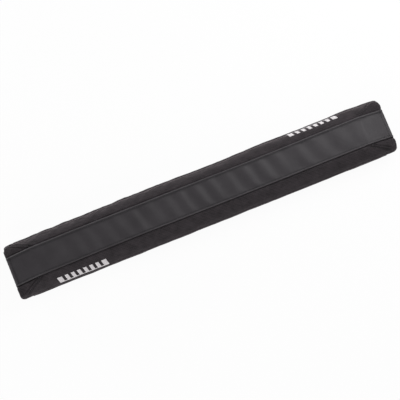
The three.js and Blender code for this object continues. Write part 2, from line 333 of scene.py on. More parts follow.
def piece(name, points_mm, faces, material, uvs=None, painted_light=None):
    """A mesh object from points in millimetres, with each corner's place on the flat cloth as UVs, and
    the painted highlight and shade at each point."""
    mesh = bpy.data.meshes.new(name)
    mesh.from_pydata(np.asarray(points_mm).reshape(-1, 3) / 1000, [], faces)
    mesh.polygons.foreach_set("use_smooth", [True] * len(mesh.polygons))
    if uvs is not None:
        layer = mesh.uv_layers.new(name="cut")
        order = np.zeros(len(mesh.loops), dtype=np.int32)
        mesh.loops.foreach_get("vertex_index", order)
        layer.data.foreach_set("uv", (np.asarray(uvs).reshape(-1, 2)[order] / 1000).ravel())
    if painted_light is not None:
        painted_light_attribute = mesh.attributes.new("painted_light", "FLOAT", "POINT")
        painted_light_attribute.data.foreach_set("value", np.asarray(painted_light, np.float32).ravel())
    mesh.materials.append(material)
    mesh.validate()
    made = bpy.data.objects.new(name, mesh)
    scene.collection.objects.link(made)
    return made


def quads(n, m, first=0, turned=False):
    """The faces of an n by m grid of points."""
    j, i = np.meshgrid(np.arange(n - 1), np.arange(m - 1), indexing="ij")
    a = (first + j * m + i).ravel()
    corners = [a, a + 1, a + m + 1, a + m]
    return np.stack(corners[::-1] if turned else corners, axis=1).tolist()


def rim(n, m):
    """The indices of the points round the edge of an n by m grid, in order."""
    return ([i for i in range(m)] + [j * m + m - 1 for j in range(1, n)]
            + [(n - 1) * m + i for i in range(m - 2, -1, -1)] + [j * m for j in range(n - 2, 0, -1)])


def bump_at(x, centre, width):
    """A smooth bump of height 1 round a centre."""
    return np.exp(-(((x - centre) / width) ** 2))


def bumps(x, rows):
    """The sum of some bumps, each given by its middle, its half width and its height."""
    return sum(height * bump_at(x, centre, width) for centre, width, height in rows)


# Swells and pinches along the two sides, and where the seams stray inwards, in millimetres
rear_swells = ((-365, 45, -1.8), (-125, 45, 0.9), (-55, 35, 0.7), (45, 50, -0.8), (144, 40, 1.0),
               (304, 22, 1.1), (365, 18, -1.5))
front_swells = ((-290, 80, -0.9), (-40, 110, 0.3), (190, 70, 0.7), (365, 30, -0.8))
rear_strays = ((110, 120, 1.3), (-240, 90, -0.6))
front_strays = ((-150, 130, 1.4),)
front_stray = 0.3
belly_level = 29.5
rear_belly, front_belly = 2.4, 1.0
rear_hollow, front_hollow = 2.0, 0.7
rear_puff, front_puff = 0.8, 1.3
near_right_push, near_left_push = (0.9, -0.9), (-2.0, -1.2)


def seam_wander(x, y):
    """How far each seam strays inwards from a straight line."""
    strays = np.where(y > 0, bumps(x, rear_strays), front_stray + bumps(x, front_strays))
    return strays * bump_at(np.abs(y) - seam, 0, 10)


def settle(points):
    """The lie of the cover on the foam: seams that wander a little, swells and pinches along its
    sides, walls that belly out below the marks, and corners that puff out past the ends."""
    x, y, z = points[:, :, 0], points[:, :, 1], points[:, :, 2]
    at_side = ease((np.abs(y) - 36) / 12)
    low_wall = ease((belly_level - z) / 5)
    rear = bumps(x, rear_swells) + rear_belly * low_wall - rear_hollow
    front = bumps(x, front_swells) + front_belly * low_wall - front_hollow
    moved = points + grid_normals(points) * (at_side * np.where(y > 0, rear, front))[:, :, None]
    moved -= unit(np.gradient(points, axis=0)) * (np.sign(y) * seam_wander(x, y))[:, :, None]
    past_seam = ease((np.abs(y) - seam - 1) / 5)
    at_end = ease((np.abs(x) - half_length + 15) / 14)
    upper = ease((z - seat_height(y)) / 8)
    moved[:, :, 0] += np.sign(x) * np.where(y > 0, rear_puff, front_puff) * past_seam * at_end * upper
    cornered = at_end * ease((np.abs(y) - half_width + 13) / 11) * (y < 0)
    push = np.where((x > 0)[:, :, None], near_right_push, near_left_push)
    moved[:, :, :2] += cornered[:, :, None] * push
    return moved


def blend(tree, share, first, second):
    """A mix of two colours, each a hex colour or the output of a node."""
    first, second = (linear(c) if isinstance(c, str) else c for c in (first, second))
    return add_node(tree, "ShaderNodeMix", {0: share, 6: first, 7: second}, data_type="RGBA").outputs[2]


def relief(tree, height, distance, strength):
    """The normals of a surface with a relief that stands up by a distance in metres."""
    inputs = {"Height": height, "Distance": distance, "Strength": strength}
    return add_node(tree, "ShaderNodeBump", inputs).outputs[0]


def cover_with(tree, colour, roughness, normal, more=None):
    """Ends a material: a surface of a colour, a roughness and normals, with more inputs where given."""
    inputs = {"Base Color": colour, "Roughness": roughness, "Normal": normal, **(more or {})}
    skin = add_node(tree, "ShaderNodeBsdfPrincipled", inputs)
    add_node(tree, "ShaderNodeOutputMaterial", {"Surface": skin.outputs[0]})


foam_material, tree = new_material("closed-cell polyethylene foam")
# Moulded closed-cell foam: matte, with fine shut bubbles about 1 mm across that dimple the
# skin, drawn at 1.4 mm so that they show.
place = add_node(tree, "ShaderNodeTexCoord").outputs["Object"]
cells = add_node(tree, "ShaderNodeTexVoronoi", {"Vector": place, "Scale": 700.0}).outputs["Distance"]
tone = blend(tree, cells, "#3a3a3c", "#4a4a4d")
cover_with(tree, tone, 0.85, relief(tree, cells, 0.0004, 0.5))

foam_rings = 8
foam_columns = np.linspace(-corner_x, corner_x, 120)
foam_rows = np.linspace(-corner_v, corner_v, 17)
foam_top = settle(cover_grid(foam_columns, foam_rows, foam_rings)[0])
foam_inset = cloth_thickness + 2 * air
foam_top = foam_top - grid_normals(foam_top) * foam_inset
foam_top[:, :, 2] = np.maximum(foam_top[:, :, 2], seat_height(foam_top[:, :, 1]) + cloth_thickness + air)
n, m = foam_top.shape[:2]
foam_under = foam_top.copy()
foam_under[:, :, 2] = seat_height(foam_under[:, :, 1]) + cloth_thickness + air
edge = np.array(rim(n, m))
flat_top, flat_under = foam_top.reshape(-1, 3), foam_under.reshape(-1, 3)
flat_under[edge] = flat_top[edge]
faces = quads(n, m) + quads(n, m, n * m, turned=True)
foam = piece("foam_block", np.concatenate([flat_top, flat_under]), faces, foam_material)
welded = foam.modifiers.new("weld", "WELD")
welded.merge_threshold = 1e-6
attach(foam, "root")
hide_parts("foam_core")


# Coated top panel
# Polyester cloth with a soft rubbery coating on the wear side. Its long edges are folded under and
# topstitched to the side panels, its ends are hemmed, and it lies a little slack, in low ripples.

def waver(seed, length, octaves=3):
    """A smooth random line over millimetres, between about -1 and 1: waves of a given length, with
    shorter and weaker ones on them."""
    draw = np.random.default_rng(seed)
    parts = [(draw.uniform(0, 2 * math.pi), length / 1.9 ** k, 0.6 ** k) for k in range(octaves)]
    size = sum(p[2] for p in parts)
    return lambda x: sum(a * np.sin(2 * math.pi * x / w + t) for t, w, a in parts) / size


def fine_rows(first, last, near, far, edges):
    """Distances from first to last, close together near the edges and further apart between them."""
    made = [first]
    while made[-1] < last:
        gap = min(abs(made[-1] - e) for e in edges)
        made.append(made[-1] + near + (far - near) * float(ease(gap / 9)))
    made = np.array(made)
    whole, run = last - first, made[-1] - first
    return made * whole / run + first * (1 - whole / run)


ripple_spacing = 31
ripple_slant = math.tan(math.radians(15))
ripple_height = 2.1
ripple_calm = 0.6
calm_from, calm_over = 120, 230
ripple_edge, ripple_fade = 17, 8
fold_width = 5.2
fold_rise = 1.0
stitch_pitch = 4.0
stitch_line = 3.9
hem_width = 7
hem_stitches = hem_width - 1.6
ripple_drift = waver(11, 170)
ripple_strength = waver(12, 120)
pucker_height, pucker_reach = 0.36, 5.0
pucker_a = waver(21, 17, 4)
pucker_b = waver(22, 17, 4)


def ripples(x, y):
    """Height of the slack in the top panel: even, soft waves, highest in the middle of its length
    and further apart towards the right end."""
    along = x - 0.2 * np.maximum(x - calm_from, 0) + ripple_slant * y + 3 * ripple_drift(x)
    wave = np.cos(2 * math.pi * along / ripple_spacing)
    middle = 1 - ripple_calm * ease((np.abs(x) - calm_from) / calm_over)
    between = 1 - ease((np.abs(y) - ripple_edge) / ripple_fade)
    return 0.5 * ripple_height * wave * middle * between * (0.8 + 0.3 * ripple_strength(x))


def seam_puckers(x, distance, which):
    """Small gathers that the stitching pulls into the cloth beside a seam."""
    gather = which(x) * np.exp(-distance / pucker_reach)
    stitch = np.cos(2 * math.pi * x / stitch_pitch) * np.exp(-(((distance - 0.4) / 1.3) ** 2))
    return pucker_height * gather + 0.10 * stitch


def hem(from_end):
    """The step that a hem folded under makes near an end, and the groove of its stitches."""
    step = 0.55 * (1 - ease((from_end - hem_width + 0.6) / 1.2))
    return step - 0.5 * bump_at(from_end, hem_stitches, 0.6)


blur_points = 19


def spread(values, row_picks, column_picks, shape):
    """Values at picked rows and columns of a grid, spread smoothly over the whole of it."""
    rows, columns = shape
    wide = np.array([np.interp(np.arange(columns), column_picks, line) for line in values])
    full = np.array([np.interp(np.arange(rows), row_picks, wide[:, i]) for i in range(columns)]).T
    window = np.hanning(blur_points) / np.hanning(blur_points).sum()
    beside = blur_points // 2
    return np.array([np.convolve(np.pad(line, beside, mode="edge"), window, mode="valid") for line in full])


swell_limit = 1.2
foam_pressure = 4
cloth_steps = 20


def press_out(points, row_picks, column_picks, seam_rows):
    """The cover as the foam presses it out: a coarse copy of it is pressed outwards as cloth, held
    along its seams and its lower edge, and the fine cover follows."""
    coarse = points[np.ix_(row_picks, column_picks)]
    n, m = coarse.shape[:2]
    body = piece("pressed_cover", coarse, quads(n, m), wear_material)
    held = body.vertex_groups.new(name="held")
    sewn = [int(np.argmin(np.abs(row_picks - row))) for row in seam_rows]
    pins = set(rim(n, m)) | {j * m + i for j in sewn for i in range(m)}
    held.add(sorted(pins), 1.0, "REPLACE")
    soft = body.modifiers.new("cloth", "CLOTH")
    soft.settings.vertex_group_mass = "held"
    soft.settings.use_pressure = True
    soft.settings.uniform_pressure_force = foam_pressure
    soft.settings.effector_weights.gravity = 0
    for step in range(1, cloth_steps + 1):
        scene.frame_set(step)
    blown = body.evaluated_get(bpy.context.evaluated_depsgraph_get()).to_mesh()
    places = np.zeros(len(blown.vertices) * 3)
    blown.vertices.foreach_get("co", places)
    moved = places.reshape(n, m, 3) * 1000 - coarse
    furthest = np.linalg.norm(moved, axis=2).max()
    print("cover pressed out by", round(float(furthest), 2), "mm before its limit")
    moved *= min(1, swell_limit / furthest)
    bpy.data.objects.remove(body)
    scene.frame_set(1)
    added = [spread(moved[:, :, c], row_picks, column_picks, points.shape[:2]) for c in range(3)]
    return points + np.stack(added, axis=2)


edge_round = 0.3


def cloth(name, outer, uvs, thickness, material, painted_light=None):
    """A closed cloth of even thickness under a grid of outer points, with rounded edges."""
    n, m = outer.shape[:2]
    inner = outer - grid_normals(outer) * thickness
    around = np.array(rim(n, m))
    flat_outer, flat_inner = outer.reshape(-1, 3), inner.reshape(-1, 3)
    middle = (flat_outer[around] + flat_inner[around]) / 2
    j, i = around // m, around % m
    inward = unit(flat_outer[np.clip(j, 1, n - 2) * m + np.clip(i, 1, m - 2)] - flat_outer[around])
    middle = middle - inward * thickness * edge_round
    points = np.concatenate([flat_outer, flat_inner, middle])
    faces = quads(n, m) + quads(n, m, n * m, turned=True)
    count = len(around)
    for k in range(count):
        a, b = int(around[k]), int(around[(k + 1) % count])
        c, d = 2 * n * m + k, 2 * n * m + (k + 1) % count
        faces.append((b, a, c, d))
        faces.append((d, c, a + n * m, b + n * m))
    flat_uvs = uvs.reshape(-1, 2)
    painted_highlight_and_shade = np.zeros(n * m) if painted_light is None else painted_light.ravel()
    return piece(name, points, faces, material, np.concatenate([flat_uvs, flat_uvs, flat_uvs[around]]),
                 np.concatenate([painted_highlight_and_shade, painted_highlight_and_shade, painted_highlight_and_shade[around]]))


def area_of(points):
    """The area of a grid of points in square millimetres, in square metres."""
    one = points[1:, 1:] - points[:-1, :-1]
    other = points[1:, :-1] - points[:-1, 1:]
    return np.linalg.norm(np.cross(one, other), axis=2).sum() / 2e6


def flat_coordinates(points):
    """Each point's place on the flat cloth: distances along the rows and the columns."""
    along = np.cumsum(np.linalg.norm(np.diff(points, axis=1, prepend=points[:, :1]), axis=2), axis=1)
    across = np.cumsum(np.linalg.norm(np.diff(points, axis=0, prepend=points[:1]), axis=2), axis=0)
    along -= along[:, [along.shape[1] // 2]]
    return np.stack([along, across], axis=2)


def cut_size(flat, lie):
    """The size of a flat cloth in metres, and its area, which is at most what the size allows."""
    size = np.ptp(flat.reshape(-1, 2), axis=0) / 1000
    return tuple(size), min(area_of(lie), size.prod())


def on_cloth(tree):
    """Each point's place on the flat cloth, in metres."""
    return add_node(tree, "ShaderNodeUVMap", uv_map="cut").outputs[0]


def noise(tree, place, scale, detail, roughness=0.5):
    """Cloudy noise, with its scale in patches per metre."""
    inputs = {"Vector": place, "Scale": scale, "Detail": detail, "Roughness": roughness}
    return add_node(tree, "ShaderNodeTexNoise", inputs).outputs[0]


wear_material, tree = new_material("coated polyester")
# Calendered polyester with a thin matte coating: a soft broad sheen, a fine pebbled grain of
# about 0.7 mm drawn at 1.4 mm so that it shows, a painted highlight along the folded edges and
# hems, and painted shade in the stitch grooves.
cut = on_cloth(tree)
grain = add_node(tree, "ShaderNodeTexVoronoi", {"Vector": cut, "Scale": 720.0, "Randomness": 0.85})
cloud = noise(tree, cut, 22.0, 4.0)
scuff = noise(tree, cut, 160.0, 6.0, 0.7)
tone = blend(tree, rescale(tree, cloud, 0.3, 0.7), "#363336", "#3e3b3e")
tone = blend(tree, rescale(tree, scuff, 0.58, 0.8, 0.0, 0.35), tone, "#504c4f")
# Painted highlight, in patches, along the folded edges and hems, from the painted light attribute
painted_light_attribute = add_node(tree, "ShaderNodeAttribute", attribute_name="painted_light").outputs["Fac"]
patchy = rescale(tree, scuff, 0.3, 0.65, 0.35, 0.8)
tone = blend(tree, calculate(tree, "MULTIPLY", painted_light_attribute, patchy, use_clamp=True), tone, "#545053")
# Painted shade in the stitch grooves, where the attribute is below zero
tone = blend(tree, calculate(tree, "MULTIPLY", painted_light_attribute, -0.7, use_clamp=True), tone, "#1c1b1d")
height = calculate(tree, "ADD", grain.outputs["Distance"], cloud)
gloss = rescale(tree, scuff, low=0.46, high=0.62)
cover_with(tree, tone, gloss, relief(tree, height, 0.0002, 0.35), {"Specular IOR Level": 0.3})

cover_rings = 22
cover_columns = np.linspace(-corner_x, corner_x, 560)
top_rows = fine_rows(-seam_v, seam_v, 0.55, 2.6, (-seam_v, seam_v))
front_rows = fine_rows(-corner_v, -(seam_v + air), 0.45, 1.4, (-(seam_v + air),))
rear_rows = -front_rows[::-1]
all_rows = np.concatenate([front_rows, top_rows, rear_rows])
cover, cover_v = cover_grid(cover_columns, all_rows, cover_rings)
top_first = cover_rings + len(front_rows)
top_last = top_first + len(top_rows)
row_step, column_step = 4, 7
last_row, last_column = len(cover_v) - 1, cover.shape[1] - 1
row_picks = np.unique(np.append(np.arange(0, last_row, row_step), [top_first, top_last - 1, last_row]))
column_picks = np.unique(np.append(np.arange(0, last_column, column_step), last_column))
cover = press_out(cover, row_picks, column_picks, (top_first, top_last - 1))
cover = settle(cover)
cover_normals = grid_normals(cover)

lie = cover[top_first:top_last]
lie_normals = cover_normals[top_first:top_last]
x, y, v = lie[:, :, 0], lie[:, :, 1], cover_v[top_first:top_last, None]
from_seam = seam_v - np.abs(v) + 0 * x
from_end = half_length - np.abs(x)
near_seam = np.where(y > 0, seam_puckers(x, from_seam, pucker_a), seam_puckers(x, from_seam, pucker_b))
folded = fold_rise * (1 - ease((from_seam - fold_width + 1.0) / 1.6))
rolled = -1.2 * fold_rise * bump_at(from_seam, 0, 0.8)
stitched = -1.1 * bump_at(from_seam, stitch_line, 1.0)
hemmed = hem(from_end)
ramp_fold = 0.2 * bump_at(np.abs(x), half_length - ramp_length + 1, 4) * ease(from_seam / 6)
raised = ripples(x, y) + near_seam + folded + rolled + stitched + hemmed + ramp_fold
lie = lie + lie_normals * raised[:, :, None]
# Painted light on the top panel: a painted highlight along the folded seam edges and the hem edges, fainter
# at the front left, and painted shade in the stitch grooves
dimmed_highlight = 0.6 * ease((-x - 85) / 30) * (y < 0)
painted_highlight_and_shade = (1 - dimmed_highlight) * bump_at(from_seam, 1.6, 0.9) + 0.5 * bump_at(from_end, 1.5, 1.2)
painted_highlight_and_shade = painted_highlight_and_shade - bump_at(from_seam, stitch_line, 1.0) - 0.7 * bump_at(from_end, hem_stitches, 0.9)
top_flat = flat_coordinates(lie)
top_panel = cloth("coated_top_panel", lie, top_flat, cloth_thickness, wear_material, painted_highlight_and_shade)
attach(top_panel, "root")
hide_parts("top_panel")
top_size, top_area = cut_size(top_flat, lie)


# Woven side panels
# Heavy plain-woven polyester, one panel along each side. Each is gathered into a dart from the top
# of the ramp to the round corner, sewn under the top panel, and hemmed at its ends.
def waves(tree, cut, axis, spacing, kind):
    """Even waves along one axis of the flat cloth, at a spacing in metres."""
    part = add_node(tree, "ShaderNodeSeparateXYZ", {0: cut}).outputs[axis]
    return calculate(tree, kind, calculate(tree, "MULTIPLY", part, 2 * math.pi / spacing))


weave_material, tree = new_material("plain-woven polyester")
# Thick dull yarn in a plain weave: matte, cloudy, with a soft sheen at a low angle and a faint
# diagonal from the twist of the yarn. The real yarns lie 0.8 mm apart and are drawn 2.4 mm apart,
# the diagonal 5.6 mm apart, so that they show. The raised yarns carry a painted highlight, and
# painted shade darkens the groove beside the seam and the dart creases.
yarn_pitch = 0.0024
twist_scale = 250 / 3.14
cut = on_cloth(tree)
warp = waves(tree, cut, 0, 2 * yarn_pitch, "SINE")
weft = waves(tree, cut, 1, 2 * yarn_pitch, "SINE")
over = calculate(tree, "MULTIPLY", warp, weft)
slub = noise(tree, cut, 380.0, 3.0)
cloudy = rescale(tree, noise(tree, cut, 60.0, 4.0, 0.6), 0.3, 0.7, 0.0, 0.8)
twist = {"Vector": cut, "Scale": twist_scale, "Distortion": 1.5, "Detail": 1.0}
twill = add_node(tree, "ShaderNodeTexWave", twist, bands_direction="DIAGONAL").outputs[1]
tone = blend(tree, calculate(tree, "MULTIPLY_ADD", twill, 0.2, cloudy), "#1e1b1d", "#393437")
# Painted highlight on the raised yarn crossings
lit = calculate(tree, "MULTIPLY", rescale(tree, over, -1.0, 1.0, 0.0, 0.5), slub)
tone = blend(tree, lit, tone, "#524d50")
painted_light_attribute = add_node(tree, "ShaderNodeAttribute", attribute_name="painted_light").outputs["Fac"]
# Painted shade beside the seam and in the dart creases, from the painted light attribute
tone = blend(tree, calculate(tree, "MULTIPLY", painted_light_attribute, -0.8, use_clamp=True), tone, "#131213")
woven = relief(tree, calculate(tree, "ADD", over, slub), 0.00025, 0.6)
cover_with(tree, tone, 0.85, woven, {"Specular IOR Level": 0.2, "Sheen Weight": 1.0,
                                     "Sheen Roughness": 0.3, "Sheen Tint": linear("#b4a8ac")})

dart_start = np.array([half_length - ramp_length, seam + air])
dart_way = np.array([half_length, half_width]) - dart_start
dart_way /= np.linalg.norm(dart_way)
dart_length = 41
dart_grooves = (-2.0, 2.7)
limp = [waver(41, 55), waver(42, 38), waver(43, 24)]


def crumple(x, v):
    """The slight unevenness of limp woven cloth."""
    return (0.5 * limp[0](x + 0.6 * v) + 0.3 * limp[1](x - 1.1 * v + 40) + 0.2 * limp[2](0.4 * x + v)) * 0.5


def dart(x, y):
    """A sewn dart: a ridge of doubled cloth between two grooves, a soft roll on each side, and a
    pinch with small puckers round it where it starts, as heights and as a share of crease."""
    along = (np.abs(x) - dart_start[0]) * dart_way[0] + (np.abs(y) - dart_start[1]) * dart_way[1]
    across = (np.abs(y) - dart_start[1]) * dart_way[0] - (np.abs(x) - dart_start[0]) * dart_way[1]
    lasting = ease((along + 3) / 4) * (1 - ease((along - dart_length + 5) / 9))
    low_groove, high_groove = dart_grooves
    fold = (0.9 * bump_at(across, 0.3, 1.3) - 1.1 * bump_at(across, low_groove, 1.0)
            - 1.0 * bump_at(across, high_groove, 1.0))
    rolls = 0.7 * bump_at(across, 5.4, 1.9) + 0.5 * bump_at(across, -4.8, 1.8)
    from_pinch = np.hypot(along - 2, across - 2)
    puckers = 0.35 * np.cos(5 * np.arctan2(across - 2, along - 2)) * bump_at(from_pinch, 6, 3)
    creased = bump_at(across, low_groove, 1.1) + bump_at(across, high_groove, 1.1)
    tight = np.where(y > 0, np.where(x > 0, 0.5, 1.0), np.where(x > 0, 1.0, 0.8))
    height = lasting * (fold + rolls) - 1.3 * bump_at(from_pinch, 0, 2.6) + puckers
    return tight * height, tight * lasting * creased


dressed = cover.copy()
dressed[top_first:top_last] = lie
for name, node, rows, gathers, pull in (
        ("woven_side_front", "side_panel_front", slice(0, top_first), pucker_b, 0.85),
        ("woven_side_rear", "side_panel_rear", slice(top_last, None), pucker_a, 0.6)):
    lie = cover[rows]
    x, y, v = lie[:, :, 0], lie[:, :, 1], cover_v[rows, None]
    from_seam = np.abs(v) - seam_v + 0 * x
    from_end = half_length - np.abs(x)
    from_low = end_v - np.abs(v) + 0 * x
    drawn_in = pull * (1 - 0.45 * ease((x + 60) / 120) * (y > 0))
    sunk = -1.7 * drawn_in * bump_at(from_seam, 1.2, 1.5)
    hemmed = hem(from_end)
    sewn_low = -0.4 * bump_at(from_low, 4, 0.7)
    free = ease(from_seam / 5) * ease(from_low / 4)
    slacker = 0.9 * ease((-x - 40) / 60) * (y > 0)
    dart_height, creased = dart(x, y)
    raised = (sunk + 0.9 * seam_puckers(x, from_seam, gathers) + hemmed + sewn_low + dart_height
              + crumple(x, v) * free * (1 + slacker))
    # Painted shade: darker in the groove beside the seam and in the dart creases
    shaded = -drawn_in * bump_at(from_seam, 0.4, 1.4) - 0.8 * creased
    lie = lie + cover_normals[rows] * raised[:, :, None]
    dressed[rows] = lie
    panel_flat = flat_coordinates(lie)
    panel = cloth(name, lie, panel_flat, cloth_thickness, weave_material, shaded)
    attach(panel, "root")
    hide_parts(node)
    panel_size, panel_area = cut_size(panel_flat, lie)


# Stitching of the cover
# Bonded polyester thread in lock stitches 4 mm apart: one row along each folded edge of the top
# panel, one along the hems at the ends, and one beside each dart.
thread_material, tree = new_material("bonded polyester thread")
# Twisted thread with a hard bond: slightly shinier than the cloth, with a fine spiral.
place = add_node(tree, "ShaderNodeTexCoord").outputs["Object"]
spiral = add_node(tree, "ShaderNodeTexWave", {"Vector": place, "Scale": 900.0}, bands_direction="DIAGONAL")
tone = blend(tree, spiral.outputs[1], "#151416", "#28272a")
cover_with(tree, tone, 0.5, relief(tree, spiral.outputs[1], 0.0001, 0.6))
thread_radius = 0.38
thread_lift = 0.12
stitch_share = 0.8
# One stitch from end to end: shares of its length, how far it stands up, and shares of its radius
stitch_spots = np.array([0, 0.14, 0.5, 0.86, 1])
stitch_rise = np.array([-0.35, 0.0, 0.16, 0.0, -0.35])
stitch_girth = np.array([0.45, 0.9, 1.0, 0.9, 0.45])
thread_sides = 6


def stitches(lines):
    """Points and faces of the stitches along some lines, each given as points and their normals."""
    points, faces = [], []
    for line, normals in lines:
        along = distances_along(line)
        for k in range(int(along[-1] / stitch_pitch)):
            start = (k + 0.1) * stitch_pitch
            spots = start + stitch_spots * stitch_share * stitch_pitch
            middle = np.stack([np.interp(spots, along, line[:, c]) for c in range(3)], axis=1)
            out = unit(np.stack([np.interp(spots, along, normals[:, c]) for c in range(3)], axis=1))
            middle = middle + out * stitch_rise[:, None]
            way = unit(np.gradient(middle, axis=0))
            beside = unit(np.cross(way, out))
            over = np.cross(beside, way)
            girth = thread_radius * stitch_girth
            first = len(points)
            for spot in range(len(girth)):
                for turn in range(thread_sides):
                    angle = turn * math.tau / thread_sides
                    points.append(middle[spot] + girth[spot] * (math.cos(angle) * beside[spot]
                                                                 + math.sin(angle) * over[spot]))
            last = len(points) - thread_sides
            for ring in range(first, last, thread_sides):
                for turn in range(thread_sides):
                    a, b = ring + turn, ring + (turn + 1) % thread_sides
                    faces.append((a, b, b + thread_sides, a + thread_sides))
            faces.append(tuple(reversed(range(first, first + thread_sides))))
            faces.append(tuple(range(last, last + thread_sides)))
    return points, faces


def crossing(points, normals, rows, limit, side):
    """Where each of some rows of a grid crosses a given distance along X, on one side."""
    found = []
    for j in rows:
        reach = points[j, :, 0] * side
        beyond = np.nonzero(reach >= limit)[0]
        if len(beyond):
            i = beyond[0] if side > 0 else beyond[-1]
            found.append((points[j, i], normals[j, i]))
    return np.array([f[0] for f in found]), np.array([f[1] for f in found])


dressed_normals = grid_normals(dressed)
seam_lines, end_lines = [], []
# The hem's stitches stop some rows of the grid before the lower edge
bare_rows = 12
for side in (-1, 1):
    row = int(np.argmin(np.abs(cover_v - side * (seam_v - stitch_line))))
    seam_lines.append((dressed[row] + dressed_normals[row] * thread_lift, dressed_normals[row]))
    limit = half_length - hem_stitches
    for rows in (range(top_first + 1, top_last - 1), range(top_first - 2, bare_rows, -1),
                 range(top_last + 2, len(cover_v) - bare_rows)):
        line, normals = crossing(dressed, dressed_normals, rows, limit, side)
        end_lines.append((line + normals * thread_lift, normals))
thread = piece("cover_stitches", *stitches(seam_lines + end_lines), thread_material)
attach(thread, "root")

n, m = dressed.shape[:2]
surface = BVHTree.FromPolygons([tuple(p) for p in dressed.reshape(-1, 3)], quads(n, m))
dart_lines = []
for side_x in (-1, 1):
    for side_y in (-1, 1):
        line, normals = [], []
        for t in np.linspace(3, dart_length - 4, 30):
            flat = dart_start + dart_way * t + np.array([-dart_way[1], dart_way[0]]) * dart_grooves[1]
            above = Vector((flat[0] * side_x, flat[1] * side_y, 200))
            spot, normal, _, _ = surface.ray_cast(above, Vector((0, 0, -1)))
            normal = normal if normal.z > 0 else -normal
            line.append(spot + normal * thread_lift)
            normals.append(normal)
        dart_lines.append((np.array(line), np.array(normals)))
thread = piece("dart_stitches", *stitches(dart_lines), thread_material)
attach(thread, "root")


# Grippy liner
# Thin knitted sheet with raised rubber dots, glued and sewn in under the foam, so that the sleeve
# doesn't turn on the bar. Its ends stop at the binding tape.
liner_material, tree = new_material("dotted anti-slip knit")
# Matte knit with shinier rubber dots about 3 mm wide, 6 mm apart.
dot_pitch = 0.006
cut = on_cloth(tree)
along, across = (waves(tree, cut, axis, dot_pitch, "COSINE") for axis in (0, 1))
dots = calculate(tree, "ADD", along, across)
dots = rescale(tree, dots, 0.5, 0.9)
knit = noise(tree, cut, 900.0, 2.0)
tone = blend(tree, dots, "#29282a", "#151516")
gloss = rescale(tree, dots, low=0.9, high=0.45)
height = calculate(tree, "ADD", dots, calculate(tree, "MULTIPLY", knit, 0.25))
cover_with(tree, tone, gloss, relief(tree, height, 0.0005, 0.8))

tape_under = 7
liner_sag = 0.12
liner_half = half_width - cloth_thickness - air
y_rows = np.concatenate([np.linspace(-liner_half, -corner_y - air - 0.1, 10),
                         np.linspace(-corner_y - air, corner_y + air, 40),
                         np.linspace(corner_y + air + 0.1, liner_half, 10)])[::-1]
bend = liner_half - corner_y
past = np.maximum(np.abs(y_rows) - corner_y, 0)
reach = np.where(np.abs(y_rows) > corner_y + air + 0.05,
                 corner_x + np.sqrt(np.maximum(bend ** 2 - past ** 2, 0)), half_length - tape_under - air)
liner_columns = 300
x = reach[:, None] * np.linspace(-1, 1, liner_columns)
under = grid_of(x, y_rows[:, None], seat_height(y_rows)[:, None] + liner_sag + liner_sag * waver(51, 70)(x))
liner_flat = flat_coordinates(under)
liner = cloth("dotted_liner", under, liner_flat, cloth_thickness - 0.1, liner_material)
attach(liner, "root")
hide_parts("bar_liner")
liner_size, liner_area = cut_size(liner_flat, under)


# Binding tape
# Ribbed grosgrain tape, folded over the raw edges of cover and liner at each end of the sleeve.
tape_material, tree = new_material("ribbed grosgrain tape")
# Dull tape with cross ribs 1.6 mm apart, as it is woven.
rib_pitch = 0.0016
cut = on_cloth(tree)
ribs = waves(tree, cut, 0, rib_pitch, "SINE")
tone = blend(tree, rescale(tree, ribs, -1.0, 1.0), "#1a191b", "#2c2a2d")
cover_with(tree, tone, 0.8, relief(tree, ribs, 0.0002, 0.6))
tape_thickness = 0.8
tape_rise = 3.6
tape_rows, tape_columns = 16, 90
for name, node, side in (("binding_tape_left", "end_binding_left", -1),
                         ("binding_tape_right", "end_binding_right", 1)):
    columns = np.linspace(corner_y, -corner_y, tape_columns) * side
    outside = half_length + air + tape_thickness
    path = rounded_path([(outside, tape_rise, 0), (outside, 0, 1.0), (half_length - tape_under, 0, 0)])
    out, up = walk(path, np.linspace(0, path[1][-1], tape_rows))
    tape = grid_of(side * (out[:, None] + 0.12 * waver(61, 9)(columns)), columns,
                   seat_height(columns) + up[:, None] + 0.02)
    tape_piece = cloth(name, tape, flat_coordinates(tape), tape_thickness, tape_material)
    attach(tape_piece, "root")
    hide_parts(node)


